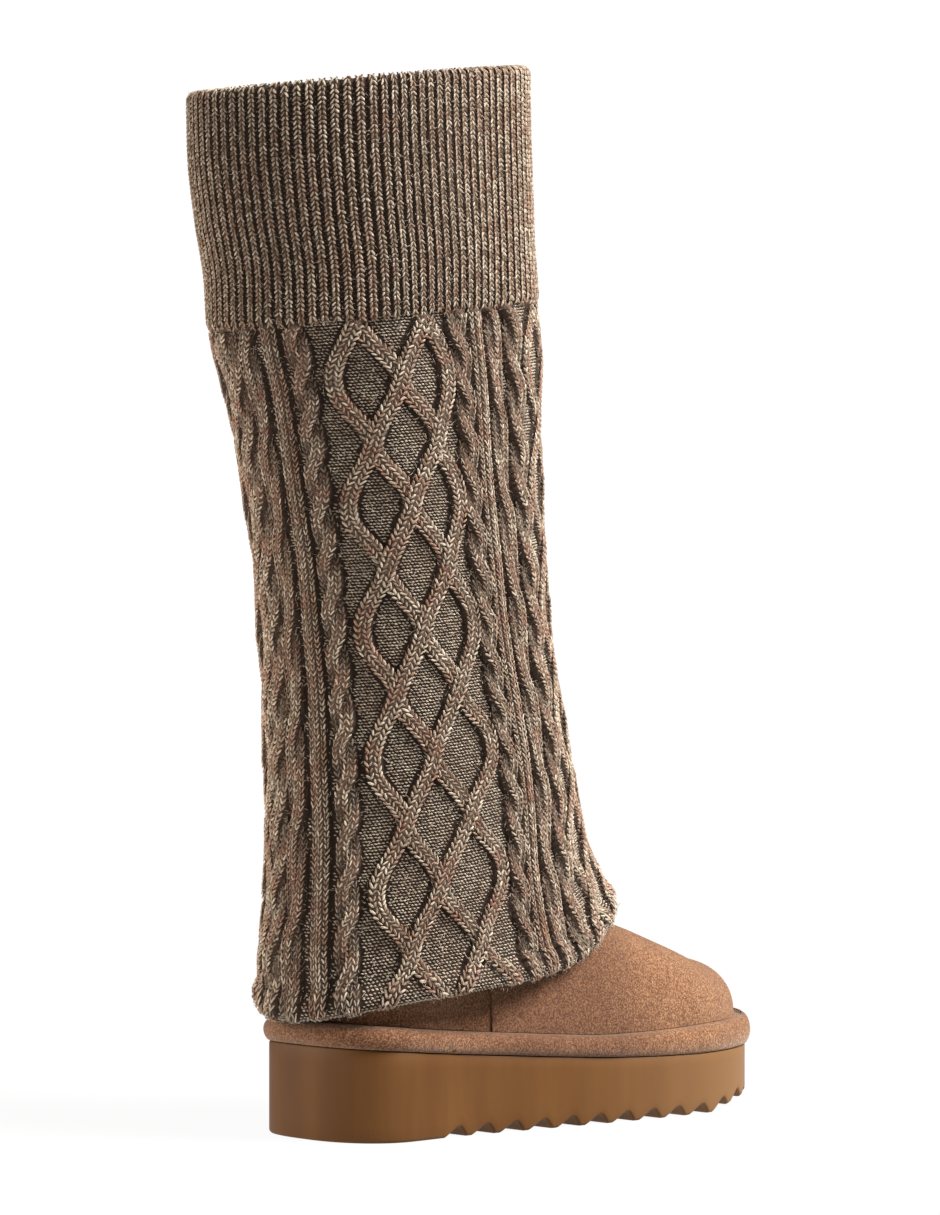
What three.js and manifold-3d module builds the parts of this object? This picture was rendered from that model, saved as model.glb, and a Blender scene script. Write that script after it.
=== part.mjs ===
import * as THREE from 'three';
import { mergeVertices } from 'three/addons/utils/BufferGeometryUtils.js';
import Module from 'manifold-3d';

// Knee-high flatform boot for the right foot, in millimetres.
// +Z is up, +Y runs to the toe and +X to the outer side of the foot.
// The origin lies on the floor, under the middle of the heel.

// Sole unit
const soleLength = 270;
const ballWidth = 102;
const heelToOrigin = 30;
const heelStack = 42.3;
const edgeRound = 1.6;
const toeTipShift = -5;
const toeSpring = 5;
const lugPitch = 16.1;
const lugDepth = 4.8;
const lugFlat = 3;
const lugCount = 13;
const heelPadLength = 49;

// Wrapped midsole, footbed and suede
const midsoleThickness = 11.3;
const midsoleBulge = 2.7;
const footbedThickness = 4;
const suedeWall = 2.6;
const featherInset = 5.3;
const sideSeamStep = 1.1;
const sideSeamAlong = 0.3;
const instepHeight = 68;
const ankleHeight = 172;

// Knitted shaft
const shaftHeight = 477;
const collarDepth = 172;
const collarWidth = 132;
const hemHeight = 74.2;
const cuffHeight = 105;
const cuffStep = 0.3;
const knitWall = 4.4;
const cableRise = 2.6;
const patternRepeats = 4;
const latticeUnit = 27.75;

// Room between neighbouring pieces
const clearance = 0.3;

// Outline of the sole unit. Along is a share of the length, outer and inner are shares of the
// width at the ball, measured from the middle line. The rounds at heel and toe follow separately.
const soleSides = [
  { along: 0.0, outer: 0.384, inner: 0.405 },
  { along: 0.12, outer: 0.384, inner: 0.402 },
  { along: 0.2, outer: 0.381, inner: 0.385 },
  { along: 0.3, outer: 0.405, inner: 0.357 },
  { along: 0.42, outer: 0.447, inner: 0.36 },
  { along: 0.55, outer: 0.486, inner: 0.41 },
  { along: 0.68, outer: 0.51, inner: 0.483 },
  { along: 0.78, outer: 0.512, inner: 0.49 },
  { along: 1.0, outer: 0.5, inner: 0.485 },
];
const heelRound = { length: 0.115, outer: 2.2, inner: 3 };
const toeRound = { length: 0.262, outer: 2, inner: 2 };

// Height of the sole unit's top edge, as a share of the stack under the heel.
const soleTopLine = [
  { along: 0.0, height: 1.0 },
  { along: 0.08, height: 0.963 },
  { along: 0.15, height: 0.918 },
  { along: 0.23, height: 0.87 },
  { along: 0.32, height: 0.823 },
  { along: 0.44, height: 0.761 },
  { along: 0.55, height: 0.713 },
  { along: 0.66, height: 0.685 },
  { along: 0.75, height: 0.674 },
  { along: 0.9, height: 0.678 },
  { along: 1.0, height: 0.69 },
];

// Height of the tread over the floor, as a share of the toe spring.
const springLine = [
  { along: 0.0, rise: 0.0 },
  { along: 0.78, rise: 0.0 },
  { along: 0.82, rise: 0.45 },
  { along: 0.87, rise: 0.82 },
  { along: 0.93, rise: 1.0 },
  { along: 1.0, rise: 1.05 },
];

// Thickness of the wrapped midsole, as a share of its named thickness.
const midsoleLine = [
  { along: 0.0, thickness: 0.95 },
  { along: 0.3, thickness: 0.87 },
  { along: 0.5, thickness: 0.86 },
  { along: 0.65, thickness: 0.98 },
  { along: 0.8, thickness: 1.13 },
  { along: 1.0, thickness: 1.1 },
];

// Crest line of the foot part over the feather edge, as a share of the instep height.
const footCrest = [
  { along: 0.16, height: 0.8 },
  { along: 0.4, height: 0.88 },
  { along: 0.5, height: 0.89 },
  { along: 0.56, height: 0.86 },
  { along: 0.61, height: 0.79 },
  { along: 0.69, height: 0.69 },
  { along: 0.76, height: 0.57 },
  { along: 0.83, height: 0.465 },
  { along: 0.87, height: 0.41 },
];
const footCrestStart = 0.16;
const footCrestEnd = 0.87;
const footRoundness = 2.2;

// How far the leg of the upper has left the heel's outline and reached the ankle's.
const legBlend = [
  { rise: 0.0, blend: 0.0 },
  { rise: 0.2, blend: 0.03 },
  { rise: 0.4, blend: 0.18 },
  { rise: 0.6, blend: 0.45 },
  { rise: 0.8, blend: 0.77 },
  { rise: 1.0, blend: 1.0 },
];
const heelSeat = { centre: 0.12, back: 0.0195, front: 0.555, half: 0.33 };

// Sections of the knitted shaft. Height is a share of the shaft's height, centre a share of the
// sole's length from its heel end, and width and depth are shares of the collar's. Lean tilts the
// section up to the front.
const shaftSections = [
  { height: 0.1555, centre: 0.324, width: 0.905, depth: 1.16, lean: 0.221 },
  { height: 0.2096, centre: 0.294, width: 0.875, depth: 1.087, lean: 0.18 },
  { height: 0.2516, centre: 0.2785, width: 0.864, depth: 1.023, lean: 0.17 },
  { height: 0.3145, centre: 0.2656, width: 0.871, depth: 0.958, lean: 0.15 },
  { height: 0.3774, centre: 0.2478, width: 0.879, depth: 0.905, lean: 0.13 },
  { height: 0.4612, centre: 0.226, width: 0.886, depth: 0.855, lean: 0.11 },
  { height: 0.5451, centre: 0.21, width: 0.894, depth: 0.86, lean: 0.1 },
  { height: 0.6289, centre: 0.1926, width: 0.909, depth: 0.895, lean: 0.1 },
  { height: 0.7128, centre: 0.1748, width: 0.939, depth: 0.938, lean: 0.11 },
  { height: 0.7757, centre: 0.1537, width: 0.955, depth: 0.977, lean: 0.115 },
  { height: 0.8281, centre: 0.1448, width: 0.97, depth: 0.963, lean: 0.12 },
  { height: 0.8805, centre: 0.133, width: 0.985, depth: 0.985, lean: 0.12 },
  { height: 0.9434, centre: 0.1226, width: 1.0, depth: 0.998, lean: 0.12 },
  { height: 1.0, centre: 0.1204, width: 1.0, depth: 1.0, lean: 0.119 },
];

// How the sections lose their plain oval towards the hem: side shifts them inwards, egg narrows
// their front, and dip and wave bend their plane. All but egg are shares of the collar's width.
const hemBends = [
  { height: 0.1555, side: -0.024, egg: 0.125, dip: 0.034, wave: 0.028 },
  { height: 0.2096, side: -0.01, egg: 0.085, dip: 0.015, wave: 0.011 },
  { height: 0.2516, side: -0.002, egg: 0.06, dip: 0.008, wave: 0.004 },
  { height: 0.3145, side: 0, egg: 0.02, dip: 0, wave: 0 },
  { height: 0.3774, side: 0, egg: 0, dip: 0, wave: 0 },
];

// Strips between two lattice panels, as shares of a turn round the shaft.
const stripOrder = [
  { name: 'rope', share: 0.029 },
  { name: 'rib', share: 0.0225 },
  { name: 'twist', share: 0.0335 },
  { name: 'wide rope', share: 0.03 },
];
const firstPanelTurn = 0.275;
const panelUnits = 4;
const columnsPerUnit = 3;

// Reads one column of a table at any place between its rows, along a smooth curve.
function readTable(table, key, column, at) {
  const last = table.length - 1;
  if (at <= table[0][key]) return table[0][column];
  if (at >= table[last][key]) return table[last][column];
  let row = 0;
  while (at > table[row + 1][key]) row += 1;
  const slope = (i) => {
    if (i < 0 || i >= last) return null;
    return (table[i + 1][column] - table[i][column]) / (table[i + 1][key] - table[i][key]);
  };
  const tangent = (i) => {
    const before = slope(i - 1);
    const after = slope(i);
    if (before === null || after === null) return before ?? after;
    if (before * after <= 0) return 0;
    return (2 * before * after) / (before + after);
  };
  const span = table[row + 1][key] - table[row][key];
  const t = (at - table[row][key]) / span;
  const u = 1 - t;
  return (
    table[row][column] * u * u * (1 + 2 * t) +
    table[row + 1][column] * t * t * (1 + 2 * u) +
    tangent(row) * span * t * u * u -
    tangent(row + 1) * span * t * t * u
  );
}

// Places of the pieces over each other, by share of the sole's length.
const toY = (along) => along * soleLength - heelToOrigin;
const toAlong = (y) => (y + heelToOrigin) / soleLength;
const soleTop = (y) => heelStack * readTable(soleTopLine, 'along', 'height', toAlong(y));
const treadHeight = (y) => toeSpring * readTable(springLine, 'along', 'rise', toAlong(y));
const midsoleAt = (y) => midsoleThickness * readTable(midsoleLine, 'along', 'thickness', toAlong(y));
const featherTop = (y) => soleTop(y) + clearance + midsoleAt(y);

// Plan outline of the sole unit: the outer side from heel to toe, then the inner side back.
const outlineSteps = 26;
const endRound = (reach, round, column) => {
  const left = 1 - Math.max(0, Math.min(1, reach / round.length));
  return (1 - left ** round[column]) ** (1 / round[column]);
};
function outlinePoint(step, side) {
  const along = (1 - Math.cos((Math.PI * step) / outlineSteps)) / 2;
  const column = side > 0 ? 'outer' : 'inner';
  const reach = ballWidth * readTable(soleSides, 'along', column, along);
  const toeEnd = endRound(1 - along, toeRound, column);
  const middle = toeTipShift * (1 - toeEnd);
  const x = (middle + side * reach * toeEnd) * endRound(along, heelRound, column);
  return new THREE.Vector2(x, toY(along));
}
function soleOutline(inset) {
  const points = [];
  for (let step = 0; step <= outlineSteps; step += 1) points.push(outlinePoint(step, 1));
  for (let step = outlineSteps - 1; step > 0; step -= 1) points.push(outlinePoint(step, -1));
  return points.map((point, i) => {
    const next = points[(i + 1) % points.length];
    const before = points[(i + points.length - 1) % points.length];
    const along = next.clone().sub(before).normalize();
    return new THREE.Vector2(point.x - along.y * inset, point.y + along.x * inset);
  });
}
const lift = (outline, heightAt) => outline.map((p) => new THREE.Vector3(p.x, p.y, heightAt(p.y)));

// A closed body from rings stacked upwards, each ring anticlockwise from above. The ends are
// closed by strips from the outer side straight across to the inner side.
function stackGeometry(rings) {
  const count = rings[0].length;
  const positions = rings.flatMap((ring) => ring.flatMap((p) => [p.x, p.y, p.z]));
  const indices = [];
  for (let j = 0; j < rings.length - 1; j += 1) {
    for (let i = 0; i < count; i += 1) {
      const low = j * count + i;
      const lowNext = j * count + ((i + 1) % count);
      indices.push(low, lowNext, lowNext + count, low, lowNext + count, low + count);
    }
  }
  const close = (base, up) => {
    for (let k = 0; k < count / 2; k += 1) {
      const right = base + k;
      const rightNext = base + k + 1;
      const left = base + ((count - k) % count);
      const leftNext = base + count - k - 1;
      const faces = [];
      if (left !== right) faces.push([right, left, leftNext]);
      if (leftNext !== rightNext) faces.push([right, leftNext, rightNext]);
      for (const [a, b, c] of faces) indices.push(...(up ? [a, c, b] : [a, b, c]));
    }
  };
  close(0, false);
  close((rings.length - 1) * count, true);
  return indexedGeometry(positions, indices);
}

function indexedGeometry(positions, indices) {
  const geometry = new THREE.BufferGeometry();
  geometry.setAttribute('position', new THREE.Float32BufferAttribute(positions, 3));
  geometry.setIndex(indices);
  return geometry;
}

const wasm = await Module();
wasm.setup();

function toSolid(geometry) {
  const bare = geometry.clone();
  bare.deleteAttribute('normal');
  bare.deleteAttribute('uv');
  const merged = mergeVertices(bare, 1e-4);
  return new wasm.Manifold(
    new wasm.Mesh({
      numProp: 3,
      vertProperties: Float32Array.from(merged.attributes.position.array),
      triVerts: Uint32Array.from(merged.index.array),
    }),
  );
}

function toGeometry(solid) {
  const mesh = solid.getMesh();
  return indexedGeometry(Array.from(mesh.vertProperties), Array.from(mesh.triVerts));
}

// One notch of the tread: from the flat of a lug it climbs towards the toe, then drops steeply.
function notchGeometry(startAlong) {
  const start = startAlong - heelToOrigin;
  const end = start + lugPitch;
  const crest = start + lugFlat + (lugPitch - lugFlat) * 0.62;
  const below = -lugDepth * 2;
  const profile = new THREE.Shape([
    new THREE.Vector2(start + lugFlat, treadHeight(start + lugFlat) - 0.05),
    new THREE.Vector2(crest, treadHeight(crest) + lugDepth),
    new THREE.Vector2(crest + 1.6, treadHeight(crest) + lugDepth),
    new THREE.Vector2(end, treadHeight(end) - 0.05),
    new THREE.Vector2(end, below),
    new THREE.Vector2(start + lugFlat, below),
  ]);
  const notch = new THREE.ExtrudeGeometry(profile, { depth: ballWidth * 2, bevelEnabled: false });
  // The profile is drawn along y and z, and runs right across the sole along x.
  notch.applyMatrix4(
    new THREE.Matrix4().makeBasis(
      new THREE.Vector3(0, 1, 0),
      new THREE.Vector3(0, 0, 1),
      new THREE.Vector3(1, 0, 0),
    ),
  );
  notch.translate(-ballWidth, 0, 0);
  return notch;
}

function outsoleGeometry() {
  const block = toSolid(
    stackGeometry([
      lift(soleOutline(edgeRound), treadHeight),
      lift(soleOutline(0), (y) => treadHeight(y) + edgeRound),
      lift(soleOutline(0), (y) => soleTop(y) - edgeRound / 2),
      lift(soleOutline(edgeRound / 2), soleTop),
    ]),
  );
  let sole = block;
  for (let i = 0; i < lugCount; i += 1) {
    sole = sole.subtract(toSolid(notchGeometry(heelPadLength - lugFlat + i * lugPitch)));
  }
  return toGeometry(sole);
}

// The wrapped midsole bulges past the sole unit and carries a ledge for the upper.
function midsoleGeometry() {
  const bottom = (y) => soleTop(y) + clearance;
  const level = (share) => (y) => bottom(y) + midsoleAt(y) * share;
  const bulge = [
    { rise: 0.0, out: 0.1 },
    { rise: 0.14, out: 0.62 },
    { rise: 0.4, out: 1.0 },
    { rise: 0.66, out: 0.86 },
    { rise: 0.87, out: 0.3 },
    { rise: 1.0, out: -0.75 },
  ];
  return stackGeometry(bulge.map((row) => lift(soleOutline(-midsoleBulge * row.out), level(row.rise))));
}

function insoleGeometry() {
  const inset = featherInset + sideSeamStep + suedeWall + clearance;
  const bottom = (y) => featherTop(y) + clearance;
  return stackGeometry([
    lift(soleOutline(inset + 0.6), bottom),
    lift(soleOutline(inset + 1.6), (y) => bottom(y) + footbedThickness * 0.7),
    lift(soleOutline(inset + 2.6), (y) => bottom(y) + footbedThickness),
  ]);
}

// Section of the knitted shaft: a point at a share of the turn, counted from the front over the
// outer side, at a height of the section's middle, moved outwards by an offset.
function shaftSection(height, offset) {
  const read = (column) => readTable(shaftSections, 'height', column, height / shaftHeight);
  const bendBy = (column) => readTable(hemBends, 'height', column, height / shaftHeight);
  const half = (collarWidth / 2) * read('width') + offset;
  const deep = (collarDepth / 2) * read('depth') + offset;
  const middle = toY(read('centre'));
  const lean = read('lean');
  const egg = bendBy('egg');
  const [sideways, dip, wave] = ['side', 'dip', 'wave'].map((name) => collarWidth * bendBy(name));
  return (angle) => {
    const side = Math.cos(angle);
    const front = Math.sin(angle);
    const bend = dip * Math.cos(2 * angle) + wave * Math.sin(3 * angle);
    return new THREE.Vector3(
      sideways + half * side * (1 - egg * front),
      middle + deep * front,
      height + lean * deep * front - bend,
    );
  };
}

// Angles on a section for the given shares of its girth.
function anglesForTurns(section, turns) {
  const steps = 240;
  const lengths = [0];
  for (let i = 1; i <= steps; i += 1) {
    const from = section(Math.PI / 2 - ((i - 1) / steps) * 2 * Math.PI);
    const to = section(Math.PI / 2 - (i / steps) * 2 * Math.PI);
    lengths.push(lengths[i - 1] + Math.hypot(to.x - from.x, to.y - from.y));
  }
  return turns.map((turn) => {
    const want = (((turn % 1) + 1) % 1) * lengths[steps];
    let i = 0;
    while (i < steps - 1 && lengths[i + 1] < want) i += 1;
    const share = (want - lengths[i]) / (lengths[i + 1] - lengths[i]);
    return Math.PI / 2 - ((i + share) / steps) * 2 * Math.PI;
  });
}

// The upper's foot part: rings shrink from the feather edge to a crest line along the foot.
// It reaches below the feather edge, where the upper is trimmed to the midsole afterwards.
function footSolid(inset, drop, below) {
  const rounds = 6;
  const crestStart = toY(footCrestStart);
  const crestEnd = toY(footCrestEnd);
  const crestSide = (y) => toeTipShift * 0.6 * THREE.MathUtils.smoothstep(y, toY(0.5), crestEnd);
  const base = soleOutline(inset);
  const crest = base.map((p) => THREE.MathUtils.clamp(p.y, crestStart, crestEnd));
  const rise = (y) => instepHeight * readTable(footCrest, 'along', 'height', toAlong(y)) - drop;
  const lines = [lift(base, (y) => featherTop(y) - below)];
  for (let j = 0; j <= rounds; j += 1) {
    const angle = ((Math.PI / 2) * (j + 0.05)) / (rounds + 0.3);
    const reach = Math.cos(angle) ** (2 / footRoundness);
    const up = Math.sin(angle) ** (2 / footRoundness);
    lines.push(
      base.map((p, i) => {
        const middle = crestSide(crest[i]);
        const x = middle + (p.x - middle) * reach;
        const y = crest[i] + (p.y - crest[i]) * reach;
        return new THREE.Vector3(x, y, featherTop(y) + clearance + rise(crest[i]) * up);
      }),
    );
  }
  return toSolid(stackGeometry(lines));
}

// The upper's leg part: from the round of the heel up to the shaft's inner face at the ankle.
const shaftInnerOffset = -(knitWall + cableRise);
function legSolid(inset, below, above) {
  const steps = 44;
  const levels = 6;
  const ankle = shaftSection(ankleHeight, shaftInnerOffset - clearance - inset);
  const seatHalf = ballWidth * heelSeat.half - inset;
  const seatCentre = toY(heelSeat.centre);
  const seatBack = toY(heelSeat.back) + inset;
  const seatFront = toY(heelSeat.front) - inset;
  const seat = (angle) => {
    const front = Math.sin(angle);
    const reach = front > 0 ? seatFront - seatCentre : seatCentre - seatBack;
    const y = seatCentre + reach * front;
    return new THREE.Vector3(seatHalf * Math.cos(angle), y, featherTop(y) + clearance);
  };
  const ring = (rise, shift) => {
    const blend = readTable(legBlend, 'rise', 'blend', rise);
    const points = [];
    for (let i = 0; i < steps; i += 1) {
      const angle = -Math.PI / 2 + (2 * Math.PI * i) / steps;
      const low = seat(angle);
      const high = ankle(angle);
      const x = THREE.MathUtils.lerp(low.x, high.x, blend);
      const y = THREE.MathUtils.lerp(low.y, high.y, blend);
      points.push(new THREE.Vector3(x, y, THREE.MathUtils.lerp(low.z, high.z, rise) + shift));
    }
    return points;
  };
  const rings = [ring(0, -below)];
  for (let j = 1; j < levels; j += 1) rings.push(ring(j / levels, 0));
  rings.push(ring(1, above));
  return toSolid(stackGeometry(rings));
}

// The suede lies double in front of the side seam, which leaves a step in the wall there.
function aheadOfSeam() {
  const box = new THREE.BoxGeometry(2 * ballWidth, soleLength, 4 * instepHeight);
  box.translate(0, toY(sideSeamAlong) + soleLength / 2, heelStack);
  return toSolid(box);
}

// What lies below the upper's feather edge: the midsole's top with its clearance.
function belowFeather() {
  const around = soleOutline(-suedeWall * 6);
  return toSolid(
    stackGeometry([lift(around, () => 0), lift(around, (y) => featherTop(y) + clearance)]),
  );
}

// Each form reaches a little deeper below the feather edge than the one before it, so that no
// two of their undersides touch before the trim.
function upperGeometry() {
  const trim = (order) => suedeWall * (1.5 + order * 0.4);
  const quarter = footSolid(featherInset + sideSeamStep, sideSeamStep, trim(0));
  const vamp = footSolid(featherInset, 0, trim(1)).intersect(aheadOfSeam());
  const outside = quarter.add(vamp).add(legSolid(0, trim(2), 0));
  const wall = suedeWall + sideSeamStep;
  const hollow = footSolid(featherInset + wall, wall, trim(3)).add(
    legSolid(suedeWall, trim(4), suedeWall),
  );
  return toGeometry(outside.subtract(hollow).subtract(belowFeather()));
}

// Columns round the shaft: the lattice panels in even steps, each strip with a crest between
// two valleys. Strips run in one order on one side of a panel and mirrored on the other.
function shaftColumns() {
  const columns = [];
  const stripTotal = stripOrder.reduce((sum, strip) => sum + strip.share, 0);
  const panelShare = 1 / patternRepeats - stripTotal;
  const panelSteps = panelUnits * columnsPerUnit;
  for (let panel = 0; panel < patternRepeats; panel += 1) {
    let turn = firstPanelTurn + panel / patternRepeats;
    for (let i = 0; i < panelSteps; i += 1) {
      columns.push({ turn: turn + (panelShare * i) / panelSteps, lattice: i, crest: 0 });
    }
    turn += panelShare;
    const strips = panel % 2 === 0 ? stripOrder : [...stripOrder].reverse();
    for (const strip of strips) {
      columns.push({ turn, lattice: null, crest: 0 });
      columns.push({ turn: turn + strip.share / 2, lattice: null, crest: 1 });
      turn += strip.share;
    }
  }
  return columns.reverse();
}

// Rise of the knit over its ground: a crest on each strip, and lattice strands that cross and
// turn back at the panel's edges, one column for each row.
function knitRise(column, row) {
  if (column.lattice === null) return column.crest * cableRise;
  const turnBack = 2 * columnsPerUnit;
  const fallsTo = (place) => ((place % turnBack) + turnBack) % turnBack === columnsPerUnit;
  return fallsTo(row + column.lattice) || fallsTo(row - column.lattice) ? cableRise : 0;
}

// Shaft and cuff are one wall: up the outside, over the rolled collar, down the inside and round
// the rolled hem.
function knitShaftGeometry() {
  const columns = shaftColumns();
  const cuffBottom = shaftHeight - cuffHeight;
  const rowHeight = latticeUnit / columnsPerUnit;
  const rowCount = Math.floor((cuffBottom - hemHeight) / rowHeight);
  const wall = knitWall + cableRise;
  const rows = [];
  const add = (height, offset, row) => rows.push({ height, offset, row });
  add(hemHeight + wall * 0.1, -wall * 0.32, null);
  for (let row = rowCount; row >= 1; row -= 1) add(cuffBottom - row * rowHeight, -cableRise, row);
  add(cuffBottom - 0.4, -cableRise, null);
  add(cuffBottom + 1.2, cuffStep, null);
  add(cuffBottom + cuffHeight * 0.45, cuffStep, null);
  add(shaftHeight - wall * 0.5, 0, null);
  add(shaftHeight - wall * 0.14, -wall * 0.15, null);
  add(shaftHeight, -wall * 0.5, null);
  add(shaftHeight - wall * 0.14, -wall * 0.85, null);
  add(shaftHeight - wall * 0.5, -wall, null);
  for (const share of [0.8, 0.6, 0.46]) add(shaftHeight * share, -wall, null);
  add(ankleHeight, -wall, null);
  for (const share of [0.26]) add(shaftHeight * share, -wall, null);
  add(hemHeight + wall * 0.8, -wall, null);
  add(hemHeight + wall * 0.1, -wall * 0.72, null);
  const count = columns.length;
  const positions = [];
  const rises = [];
  for (const { height, offset, row } of rows) {
    const angles = anglesForTurns(
      shaftSection(height, offset),
      columns.map((column) => column.turn),
    );
    columns.forEach((column, i) => {
      const rise = row === null ? 0 : knitRise(column, row);
      rises.push(rise);
      positions.push(...shaftSection(height, offset + rise)(angles[i]).toArray());
    });
  }
  const indices = [];
  for (let j = 0; j < rows.length; j += 1) {
    const up = (j + 1) % rows.length;
    for (let i = 0; i < count; i += 1) {
      const next = (i + 1) % count;
      const [a, b] = [j * count + i, j * count + next];
      const [c, d] = [up * count + next, up * count + i];
      // Each square is split along the strand that crosses it.
      if (rises[b] + rises[d] > rises[a] + rises[c]) indices.push(a, b, d, b, c, d);
      else indices.push(a, b, c, a, c, d);
    }
  }
  return indexedGeometry(positions, indices);
}

const boot = new THREE.Group();
boot.name = 'knee_boot';

function addPiece(name, geometry, look) {
  const piece = new THREE.Mesh(geometry, new THREE.MeshStandardMaterial(look));
  piece.name = name;
  boot.add(piece);
}

addPiece('outsole', outsoleGeometry(), { color: 0x936741, roughness: 0.5, metalness: 0 });
addPiece('midsole', midsoleGeometry(), { color: 0xa9774f, roughness: 0.95, metalness: 0 });
addPiece('insole', insoleGeometry(), { color: 0xcbb99f, roughness: 0.95, metalness: 0 });
addPiece('upper', upperGeometry(), { color: 0xa9774f, roughness: 0.95, metalness: 0 });
addPiece('knit_shaft', knitShaftGeometry(), { color: 0xa08c7a, roughness: 1, metalness: 0 });

export default boot;
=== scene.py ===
import math
import bpy
import numpy as np
from mathutils import Matrix, Vector


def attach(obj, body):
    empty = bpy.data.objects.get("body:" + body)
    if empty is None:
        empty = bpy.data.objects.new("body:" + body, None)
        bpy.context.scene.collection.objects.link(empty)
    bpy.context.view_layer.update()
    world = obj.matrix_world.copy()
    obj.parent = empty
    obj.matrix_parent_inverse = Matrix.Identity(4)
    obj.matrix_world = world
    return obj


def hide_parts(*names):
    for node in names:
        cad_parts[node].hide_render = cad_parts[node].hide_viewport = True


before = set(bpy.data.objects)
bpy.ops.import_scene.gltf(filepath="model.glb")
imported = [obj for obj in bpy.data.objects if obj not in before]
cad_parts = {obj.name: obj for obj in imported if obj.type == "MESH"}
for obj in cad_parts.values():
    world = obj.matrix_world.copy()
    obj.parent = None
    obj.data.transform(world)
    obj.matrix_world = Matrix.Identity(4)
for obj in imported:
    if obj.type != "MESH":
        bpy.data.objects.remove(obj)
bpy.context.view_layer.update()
print("frame loaded")

mm = 0.001

# Camera: behind the outer side of the heel, a little above half height
eye = {
    "place": (1.57586, -1.43014, 0.25504),
    "right": (0.68974593, 0.72405149, 0.0),
    "up": (-0.00568663, 0.0054172, 0.99996916),
    "lens": 139.505, "sensor": 36, "farClip": 60,
}


def addCamera():
    data = bpy.data.cameras.new("studio camera")
    data.lens = eye["lens"]
    data.sensor_width = eye["sensor"]
    data.clip_end = eye["farClip"]
    camera = bpy.data.objects.new("studio camera", data)
    right, up = Vector(eye["right"]), Vector(eye["up"])
    back = right.cross(up)
    turn = Matrix((right, up, back)).transposed().to_4x4()
    camera.matrix_world = Matrix.Translation(Vector(eye["place"])) @ turn
    bpy.context.collection.objects.link(camera)
    bpy.context.scene.camera = camera


addCamera()


# Shader sockets with arithmetic
class Wire:
    def __init__(self, tree, end=None):
        self.tree = tree
        self.end = end

    def make(self, kind, settings=None, sockets=None, out=0):
        node = self.tree.nodes.new(kind)
        for key, value in (settings or {}).items():
            if key == "stops":
                ramp = node.color_ramp
                while len(ramp.elements) < len(value):
                    ramp.elements.new(0.5)
                for stop, (at, colour) in zip(ramp.elements, value):
                    stop.position = at
                    stop.color = colour
            else:
                setattr(node, key, value)
        for key, value in (sockets or {}).items():
            if isinstance(value, Wire):
                self.tree.links.new(value.end, node.inputs[key])
            else:
                node.inputs[key].default_value = value
        return Wire(self.tree, node.outputs[out])

    def math(self, operation, a, b=0.0):
        return self.make("ShaderNodeMath", {"operation": operation}, {0: a, 1: b})

    def __add__(self, other):
        return self.math("ADD", self, other)

    def __radd__(self, other):
        return self.math("ADD", other, self)

    def __sub__(self, other):
        return self.math("SUBTRACT", self, other)

    def __rsub__(self, other):
        return self.math("SUBTRACT", other, self)

    def __mul__(self, other):
        return self.math("MULTIPLY", self, other)

    def __rmul__(self, other):
        return self.math("MULTIPLY", other, self)

    def ramp(self, low, high):  # 0 below low, 1 above high
        return self.make("ShaderNodeMapRange", {"interpolation_type": "SMOOTHSTEP"},
                         {0: self, 1: low, 2: high, 3: 0.0, 4: 1.0})

    def blend(self, first, second):  # colours, by this socket's value
        return self.make("ShaderNodeMix", {"data_type": "RGBA", "clamp_factor": True},
                         {0: self, 6: first, 7: second}, out=2)


def objectPlace(w):
    return w.make("ShaderNodeTexCoord", out=3)


def noise(w, place, scale, detail=2.0, rough=0.5, twist=0.0):
    return w.make("ShaderNodeTexNoise", None, {
        "Vector": place, "Scale": scale, "Detail": detail, "Roughness": rough, "Distortion": twist})


def bump(w, strength, distance, height):
    return w.make("ShaderNodeBump", None, {"Strength": strength, "Distance": distance, "Height": height})


def linear(red, green, blue):
    # a colour picked on the screen, as Blender's linear light
    return tuple((c / 255 / 12.92) if c / 255 < 0.04045 else ((c / 255 + 0.055) / 1.055) ** 2.4
                 for c in (red, green, blue)) + (1.0,)


def newMaterial(name, fixed, paint):
    material = bpy.data.materials.new(name)
    material.use_nodes = True
    tree = material.node_tree
    tree.nodes.clear()
    shader = tree.nodes.new("ShaderNodeBsdfPrincipled")
    output = tree.nodes.new("ShaderNodeOutputMaterial")
    tree.links.new(shader.outputs[0], output.inputs[0])
    for key, value in fixed.items():
        shader.inputs[key].default_value = value
    for key, value in paint(Wire(tree)).items():
        tree.links.new(value.end, shader.inputs[key])
    return material


# Tables of the part, as shares of its named sizes; sizes in millimetres
part = {
    "soleLength": 270, "ballWidth": 102, "heelToOrigin": 30, "heelStack": 42.3,
    "edgeRound": 1.6, "toeTipShift": -5, "toeSpring": 5,
    "lugPitch": 16.1, "lugDepth": 4.8, "lugFlat": 3, "lugCount": 13, "heelPadLength": 49,
    "midsoleThickness": 11.3, "midsoleBulge": 2.7, "footbedThickness": 4, "suedeWall": 2.6,
    "featherInset": 5.3, "sideSeamStep": 1.1, "sideSeamAlong": 0.3, "instepHeight": 68,
    "ankleHeight": 172, "shaftHeight": 477, "collarDepth": 172, "collarWidth": 132,
    "hemHeight": 74.2, "cuffHeight": 105, "knitWall": 4.4, "cableRise": 2.6,
    "latticeUnit": 27.75, "clearance": 0.3,
}
soleSides = {
    "along": (0.0, 0.12, 0.2, 0.3, 0.42, 0.55, 0.68, 0.78, 1.0),
    "outer": (0.384, 0.384, 0.381, 0.405, 0.447, 0.486, 0.51, 0.512, 0.5),
    "inner": (0.405, 0.402, 0.385, 0.357, 0.36, 0.41, 0.483, 0.49, 0.485),
}
heelRound = {"length": 0.115, "outer": 2.2, "inner": 3}
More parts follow.
